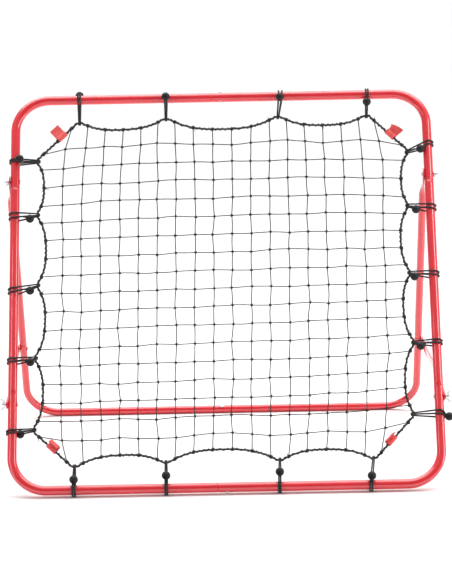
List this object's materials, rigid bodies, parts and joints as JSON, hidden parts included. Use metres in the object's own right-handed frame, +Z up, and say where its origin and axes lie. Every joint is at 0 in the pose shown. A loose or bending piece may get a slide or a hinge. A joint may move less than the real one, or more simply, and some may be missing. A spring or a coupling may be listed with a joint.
{
  "type": "pitch back rebounder",
  "caption": "Folding ball rebounder: a square knotted net stretched by ball bungees in a leaning tube frame, with a hinged rear stand and flat side braces.",
  "frame": {"origin": "on the ground, midway between the front bottom bar and the rear bar and in the middle of the front frame's width", "axes": "+X to the right as the player sees the net, +Y away from the player toward the rear stand, +Z up"},
  "size_m": [1.0489, 0.7848, 0.8485],
  "materials": {
    "red_paint": "gloss",
    "zinc_hardware": "satin",
    "net_twine": "matte",
    "border_rope": "matte",
    "tag_ribbon": "matte",
    "ball_bungee": "satin"
  },
  "bodies": {
    "front_frame": {"front_top_corner_left": "red_paint", "front_top_corner_right": "red_paint", "front_bottom_corner_left": "red_paint", "front_bottom_corner_right": "red_paint", "front_side_tube_left": "red_paint", "front_side_tube_right": "red_paint", "top_bar_screw": "zinc_hardware", "top_bar_insert": "zinc_hardware", "bottom_bar_screw": "zinc_hardware", "bottom_bar_insert": "zinc_hardware", "hinge_left_bolt": "zinc_hardware", "hinge_right_bolt": "zinc_hardware", "brace_front_left_bolt": "zinc_hardware", "brace_front_right_bolt": "zinc_hardware", "rebound_net": "net_twine", "net_border_rope": "border_rope", "tag_top_left": "tag_ribbon", "tag_top_right": "tag_ribbon", "tag_bottom_left": "tag_ribbon", "tag_bottom_right": "tag_ribbon", "bungee_top_1": "ball_bungee", "bungee_top_2": "ball_bungee", "bungee_top_3": "ball_bungee", "bungee_top_4": "ball_bungee", "bungee_bottom_1": "ball_bungee", "bungee_bottom_2": "ball_bungee", "bungee_bottom_3": "ball_bungee", "bungee_bottom_4": "ball_bungee", "bungee_left_1": "ball_bungee", "bungee_left_2": "ball_bungee", "bungee_left_3": "ball_bungee", "bungee_left_4": "ball_bungee", "bungee_left_5": "ball_bungee", "bungee_right_1": "ball_bungee", "bungee_right_2": "ball_bungee", "bungee_right_3": "ball_bungee", "bungee_right_4": "ball_bungee", "bungee_right_5": "ball_bungee"},
    "rear_frame": {"rear_bottom_corner_left": "red_paint", "rear_bottom_corner_right": "red_paint", "rear_leg_left": "red_paint", "rear_leg_right": "red_paint", "rear_bar_screw": "zinc_hardware", "rear_bar_insert": "zinc_hardware", "brace_rear_left_bolt": "zinc_hardware", "brace_rear_right_bolt": "zinc_hardware"},
    "brace_left": {"brace_bar_left": "red_paint"},
    "brace_right": {"brace_bar_right": "red_paint"},
    "hinge_left_wing_nut": {"hinge_left_wing_nut": "zinc_hardware"},
    "hinge_right_wing_nut": {"hinge_right_wing_nut": "zinc_hardware"},
    "brace_front_left_wing_nut": {"brace_front_left_wing_nut": "zinc_hardware"},
    "brace_front_right_wing_nut": {"brace_front_right_wing_nut": "zinc_hardware"},
    "brace_rear_left_wing_nut": {"brace_rear_left_wing_nut": "zinc_hardware"},
    "brace_rear_right_wing_nut": {"brace_rear_right_wing_nut": "zinc_hardware"}
  },
  "joints": [
    {"name": "stand_fold", "type": "hinge", "parent": "front_frame", "child": "rear_frame", "pos_m": [0, 0.04334, 0.65494], "axis": [-1, 0, 0], "range_deg": [0, 40]},
    {"name": "brace_left_swing", "type": "hinge", "parent": "front_frame", "child": "brace_left", "pos_m": [-0.5018, -0.26465, 0.18963], "axis": [1, 0, 0], "range_deg": [0, 44]},
    {"name": "brace_right_swing", "type": "hinge", "parent": "front_frame", "child": "brace_right", "pos_m": [0.5018, -0.26465, 0.18963], "axis": [1, 0, 0], "range_deg": [0, 44]},
    {"name": "hinge_left_wing_nut_turn", "type": "hinge", "parent": "front_frame", "child": "hinge_left_wing_nut", "pos_m": [-0.5036, 0.04334, 0.65494], "axis": [-1, 0, 0], "continuous": true},
    {"name": "hinge_right_wing_nut_turn", "type": "hinge", "parent": "front_frame", "child": "hinge_right_wing_nut", "pos_m": [0.5003, 0.04334, 0.65494], "axis": [1, 0, 0], "continuous": true},
    {"name": "brace_front_left_wing_nut_turn", "type": "hinge", "parent": "front_frame", "child": "brace_front_left_wing_nut", "pos_m": [-0.5036, -0.26465, 0.18963], "axis": [-1, 0, 0], "continuous": true},
    {"name": "brace_front_right_wing_nut_turn", "type": "hinge", "parent": "front_frame", "child": "brace_front_right_wing_nut", "pos_m": [0.5036, -0.26465, 0.18963], "axis": [1, 0, 0], "continuous": true},
    {"name": "brace_rear_left_wing_nut_turn", "type": "hinge", "parent": "rear_frame", "child": "brace_rear_left_wing_nut", "pos_m": [-0.5149, 0.28199, 0.19716], "axis": [-1, 0, 0], "continuous": true},
    {"name": "brace_rear_right_wing_nut_turn", "type": "hinge", "parent": "rear_frame", "child": "brace_rear_right_wing_nut", "pos_m": [0.4893, 0.28199, 0.19716], "axis": [1, 0, 0], "continuous": true}
  ],
  "couplings": [
    {"joint": "brace_left_swing", "follows": "stand_fold", "ratio": 1.1},
    {"joint": "brace_right_swing", "follows": "stand_fold", "ratio": 1.1}
  ]
}
